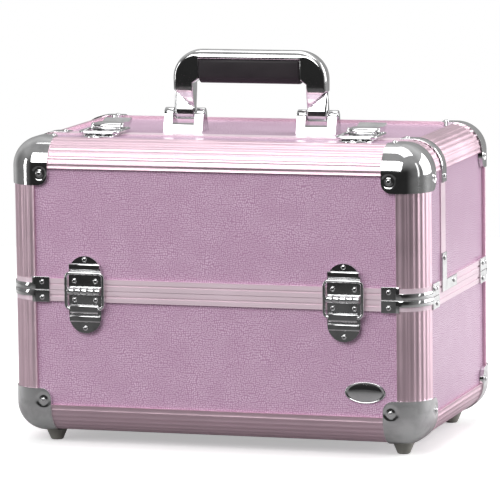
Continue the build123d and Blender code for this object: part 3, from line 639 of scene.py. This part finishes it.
# Rivet places on the side, front or rear, and top or bottom face, from the ball's centre along the other
# two directions.
RIVET_PLACES = ((-0.0055, -0.0030), (-0.0052, -0.0040), (-0.0080, -0.0050))
BALLS = (
    ("base_ball_corners", "base", -1, (-1, 1)),
    ("front_lid_ball_corners", "front_lid", 1, (-1,)),
    ("rear_lid_ball_corners", "rear_lid", 1, (1,)),
)
for node, body, up, ends in BALLS:
    for end in ends:
        for side in (-1, 1):
            corner = f"{node[:-1]}_{'front' if end < 0 else 'rear'}_{'left' if side < 0 else 'right'}"
            centre = (side * ball_x, end * ball_y, ball_high if up > 0 else ball_low)
            piece = ball_corner(corner, centre, (side, end, up), BALL_REACH, RIVET_PLACES)
            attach(piece, body)
            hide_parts(node)

# Handle bow. Cast in one piece with square shoulders that the grip is held between, ground, polished and
# plated. Near each pivot its faces are cut back at a slant to a tongue that fits between the bracket's
# ears.
LEG_MIDDLE = 0.0587
LEG_HALF = 0.0087
BOW_RADIUS = 0.0245
BOW_HALF_DEPTH = 0.0075
TONGUE_HALF = 0.005
TONGUE_LEAN = 0.24
SLANT = 0.88
SLANT_RISE = 0.0127
FACE_HOLLOW = 5.2
SHOULDER = 0.04442
SHOULDER_RISE = 0.004
LEG_ROUND = 0.0030
BAR_ROUND = 0.0070
INNER_ROUND = 0.0012
ACROSS = 20
LEG_STEPS = 150
SLANT_RUN = 0.0008  # height over which the slant steps from the tongue to the face
TONGUE_STRAIGHT = 0.004  # height above the pivot at which the tongue starts to thin
HOLLOW_TOP = 0.0325  # height above the pivot at which the legs reach their full depth
CURVE_SHARE = 60.0  # degrees of the outer corner over which the inner edge climbs to the bar

bow_low, bow_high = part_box("handle_bow")
grip_low, grip_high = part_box("handle_grip")
pivot_level = bow_low.z + TONGUE_HALF
bar_low = grip_high.z
leg_outer = LEG_MIDDLE + LEG_HALF
leg_inner = LEG_MIDDLE - LEG_HALF


def spread(first, last, count):
    """Even steps from first to last, both included."""
    return [first + (last - first) * i / (count - 1) for i in range(count)]


def bow_stations():
    """Outer and inner edge of the right half of the bow, from its lower end to its middle."""
    pairs = []
    for level in spread(bow_low.z + 0.0001, grip_low.z, LEG_STEPS):
        pairs.append(((leg_outer, level), (leg_inner, level)))
    curve_start = bow_high.z - BOW_RADIUS
    shoulder_level = grip_low.z + SHOULDER_RISE
    pairs.append(((leg_outer, curve_start), (SHOULDER, shoulder_level)))
    turn_x = leg_outer - BOW_RADIUS
    for angle in spread(0.0, 90.0, 20)[1:]:
        reach = math.radians(angle)
        outer = (turn_x + BOW_RADIUS * math.cos(reach), curve_start + BOW_RADIUS * math.sin(reach))
        climb = shoulder_level + (bar_low - shoulder_level) * min(1.0, angle / CURVE_SHARE)
        inward = SHOULDER - max(0.0, angle - CURVE_SHARE) / (90.0 - CURVE_SHARE) * (SHOULDER - turn_x)
        pairs.append((outer, (inward, climb)))
    for across in spread(turn_x, 0.0, 12)[1:]:
        pairs.append(((across, bow_high.z), (across, bar_low)))
    return pairs


def leg_depth(x, level):
    """Half depth of the bow at a point of a leg, cut back to the tongue along a slant."""
    if level < pivot_level:
        return math.sqrt(max(TONGUE_HALF**2 - (pivot_level - level) ** 2, 0.00000001))
    above_slant = level - pivot_level - SLANT_RISE - SLANT * (x - LEG_MIDDLE)
    tongue = TONGUE_HALF - TONGUE_LEAN * max(0.0, level - pivot_level - TONGUE_STRAIGHT)
    face = BOW_HALF_DEPTH - FACE_HOLLOW * max(0.0, pivot_level + HOLLOW_TOP - level) ** 2
    share = min(1.0, max(0.0, above_slant / SLANT_RUN))
    return tongue + share * (face - tongue)


def edge_drop(distance, radius):
    """How far a rounded edge has fallen away at this distance from the end of the face."""
    if distance >= radius:
        return 0.0
    return radius - math.sqrt(radius * radius - (radius - distance) ** 2)


def bow_ring(outer, inner):
    """The closed outline of the bow between two edge points; its bar is rounder than its legs."""
    curve = (outer[1] - (bow_high.z - BOW_RADIUS)) / BOW_RADIUS
    outer_round = LEG_ROUND + max(0.0, curve) ** 3 * (BAR_ROUND - LEG_ROUND)
    outer = Vector((outer[0], 0.0, outer[1]))
    inner = Vector((inner[0], 0.0, inner[1]))
    width = (inner - outer).length
    shares = [0.5 - 0.5 * math.cos(math.pi * i / (ACROSS - 1)) for i in range(ACROSS)]
    front = []
    for share in shares:
        point = outer.lerp(inner, share)
        depth = leg_depth(point.x, point.z)
        scale = depth / BOW_HALF_DEPTH
        drop = edge_drop(share * width, outer_round) + edge_drop((1 - share) * width, INNER_ROUND)
        front.append(Vector((point.x, -(depth - drop * scale), point.z)))
    back = [Vector((point.x, -point.y, point.z)) for point in reversed(front)]
    return front + back


def loft(name, rings):
    """A closed skin over a row of closed outlines with the same number of points."""
    count = len(rings[0])
    vertices = [tuple(point) for ring in rings for point in ring]
    faces = []
    for i in range(len(rings) - 1):
        for j in range(count):
            k = (j + 1) % count
            faces.append((i * count + j, i * count + k, (i + 1) * count + k, (i + 1) * count + j))
    faces.append(tuple(range(count)))
    faces.append(tuple((len(rings) - 1) * count + j for j in range(count)))
    return mesh_object(name, vertices, faces)


def crease(piece, angle):
    """Keeps edges sharper than an angle crisp under smooth shading."""
    bm = bmesh.new()
    bm.from_mesh(piece.data)
    for edge in bm.edges:
        if len(edge.link_faces) == 2:
            edge.smooth = edge.calc_face_angle(0.0) < math.radians(angle)
    bm.to_mesh(piece.data)
    bm.free()


right_half = [bow_ring(outer, inner) for outer, inner in bow_stations()]
left_half = [[Vector((-point.x, point.y, point.z)) for point in ring] for ring in right_half]
bow = loft("handle_casting", left_half + right_half[-2::-1])
crease(bow, 28.0)
wear_over(bow, chrome)
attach(bow, "handle")
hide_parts("handle_bow")

# Grip. Charcoal rubber moulded round the bow's top bar, with a fine matt grain; worn a little smoother
# where the hand closes on it.
GRIP_END = 0.0012
GRIP_CORNER_LOW = 0.0068
GRIP_CORNER_HIGH = 0.0022
GRIP_TOP_GAP = 0.0001
PATCH_SCALE = 60.0

rubber = Finish("charcoal_rubber", {"Specular IOR Level": 0.35})
grain, given = group_tree(
    "moulded_grain",
    [("Place", "NodeSocketVector", None), ("Grain Size", "NodeSocketFloat", 0.0005)],
    [("Height", "NodeSocketFloat"), ("Patches", "NodeSocketFloat")],
)
grains_per_metre = maths(grain, "DIVIDE", 1.0, given["Grain Size"])
pits = node_in(
    grain, "ShaderNodeTexVoronoi", {"Vector": given["Place"], "Scale": grains_per_metre}, feature="SMOOTH_F1"
)
patches = noise(grain, given["Place"], PATCH_SCALE, 3.0)["Fac"]
node_in(grain, "NodeGroupOutput", {"Height": pits.outputs["Distance"], "Patches": patches})


def moulded(finish, size, pale, deep, smooth, matt, depth):
    """Sets a moulded finish: grain size, two colours, two roughnesses and the grain's depth."""
    marks = finish.effect(grain, {"Grain Size": size})
    finish.feed("Base Color", finish.ramp(marks["Patches"], deep, pale, 0.3, 0.7))
    finish.feed("Roughness", finish.ramp(marks["Patches"], grey(smooth), grey(matt), 0.3, 0.7))
    finish.relief(marks["Height"], 0.4, depth)


moulded(rubber, 0.0006, (0.022, 0.018, 0.021, 1.0), (0.014, 0.011, 0.014, 1.0), 0.42, 0.6, 0.00008)


def rounded_outline(half_width, low, high, round_low, round_high, steps=7):
    """A rectangle in depth and height with round corners, larger below."""
    corners = (
        (half_width - round_low, low + round_low, round_low, -90.0),
        (half_width - round_high, high - round_high, round_high, 0.0),
        (-half_width + round_high, high - round_high, round_high, 90.0),
        (-half_width + round_low, low + round_low, round_low, 180.0),
    )
    outline = []
    for y, z, radius, start in corners:
        for angle in spread(start, start + 90.0, steps):
            turn = math.radians(angle)
            outline.append((y + radius * math.cos(turn), z + radius * math.sin(turn)))
    return outline


grip_half = grip_high.x
grip_rings = []
for reach, inset in (
    (-grip_half, GRIP_END),
    (-grip_half + 0.3 * GRIP_END, 0.4 * GRIP_END),
    (-grip_half + GRIP_END, 0.0),
    (-0.5 * grip_half, 0.0),
    (0.0, 0.0),
    (0.5 * grip_half, 0.0),
    (grip_half - GRIP_END, 0.0),
    (grip_half - 0.3 * GRIP_END, 0.4 * GRIP_END),
    (grip_half, GRIP_END),
):
    grip_top = grip_high.z - GRIP_TOP_GAP - inset
    outline = rounded_outline(
        grip_high.y - inset, grip_low.z + inset, grip_top, GRIP_CORNER_LOW, GRIP_CORNER_HIGH
    )
    grip_rings.append([Vector((reach, y, z)) for y, z in outline])
grip_piece = loft("moulded_grip", grip_rings)
crease(grip_piece, 40)
wear_over(grip_piece, rubber)
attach(grip_piece, "handle")
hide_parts("handle_grip")

# Badge. A blank oval stamped from plated sheet, slightly domed inside a raised rim, stuck on with its pins.
badge_low, badge_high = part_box("badge_plate")
# Shares of the half width and half height, and of the thickness, from the panel over the rim to the middle.
BADGE_PROFILE = (
    (1.0, 0.0),
    (1.0, 0.35),
    (0.985, 0.58),
    (0.945, 0.66),
    (0.91, 0.56),
    (0.885, 0.46),
    (0.80, 0.62),
    (0.60, 0.82),
    (0.35, 0.95),
    (0.12, 1.0),
)
BADGE_STEPS = 72


def oval_badge(name):
    """The stamped oval, standing on its panel."""
    middle = (badge_low + badge_high) / 2
    half_x = (badge_high.x - badge_low.x) / 2
    half_z = (badge_high.z - badge_low.z) / 2
    thickness = badge_high.y - badge_low.y
    rings = []
    for share, rise in BADGE_PROFILE:
        ring = []
        for turn in spread(0.0, 2 * math.pi, BADGE_STEPS + 1)[:-1]:
            x = middle.x + share * half_x * math.cos(turn)
            z = middle.z + share * half_z * math.sin(turn)
            ring.append(Vector((x, badge_high.y - rise * thickness, z)))
        rings.append(ring)
    return loft(name, rings)


badge = oval_badge("stamped_badge")
wear_over(badge, chrome)
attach(badge, "base")
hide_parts("badge_plate")

# Feet. Turned rubber buttons, fixed by a screw up the middle, a little softened at the lower rim.
feet_low, feet_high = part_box("rubber_feet")
FOOT_RADIUS = 0.0093
FOOT_STEPS = 40
# Radius in metres and share of the height, from the screw's recess round the lower rim and up to the floor
# board.
FOOT_PROFILE = (
    (0.0018, 0.30),
    (0.0021, 0.03),
    (0.0046, 0.0),
    (0.0053, 0.05),
    (0.0057, 0.14),
    (0.0072, 0.50),
    (0.0088, 0.88),
    (0.0092, 0.96),
    (0.0092, 1.0),
)
foot_rubber = Finish("grey_rubber", {})
moulded(foot_rubber, 0.0007, (0.42, 0.41, 0.37, 1.0), (0.33, 0.32, 0.29, 1.0), 0.38, 0.55, 0.00006)
foot_x = feet_high.x - FOOT_RADIUS
foot_y = feet_high.y - FOOT_RADIUS
for end in (-1, 1):
    for side in (-1, 1):
        rings = []
        for radius, share in FOOT_PROFILE:
            level = feet_low.z + share * (feet_high.z - feet_low.z)
            rings.append(
                [
                    Vector((side * foot_x + radius * math.cos(t), end * foot_y + radius * math.sin(t), level))
                    for t in spread(0.0, 2 * math.pi, FOOT_STEPS + 1)[:-1]
                ]
            )
        foot = loft(f"foot_{'front' if end < 0 else 'rear'}_{'left' if side < 0 else 'right'}", rings)
        crease(foot, 60)
        wear_over(foot, foot_rubber)
        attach(foot, "base")
        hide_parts("rubber_feet")

# Inside. The shell is lined with grey felt glued to the boards; the trays are moulded in pale plastic, and
# their arms and studs are punched and turned from zinc-plated steel.
felt = Finish("grey_felt", {"Specular IOR Level": 0.1})
moulded(felt, 0.0009, (0.30, 0.28, 0.30, 1.0), (0.22, 0.205, 0.22, 1.0), 0.88, 1.0, 0.0003)
for lining in ("base_lining", "front_lid_lining", "rear_lid_lining"):
    wear_over(nodes[lining], felt)

tray_plastic = Finish("pale_plastic", {"Specular IOR Level": 0.45})
moulded(tray_plastic, 0.0008, (0.78, 0.72, 0.75, 1.0), (0.72, 0.66, 0.69, 1.0), 0.33, 0.48, 0.00006)
for tray in ("front_tray", "rear_tray"):
    wear_over(nodes[tray], tray_plastic)
    soften(nodes[tray], 0.0004)

zinc = plated("zinc_plate", (0.70, 0.70, 0.69, 1.0), (0.56, 0.56, 0.56, 1.0), 0.22, 0.36)
for part in ("front_tray_arms", "front_tray_links", "rear_tray_arms", "rear_tray_links"):
    wear_over(nodes[part], zinc)
    soften(nodes[part], 0.0002)
wear_over(nodes["tray_pivot_studs"], zinc)
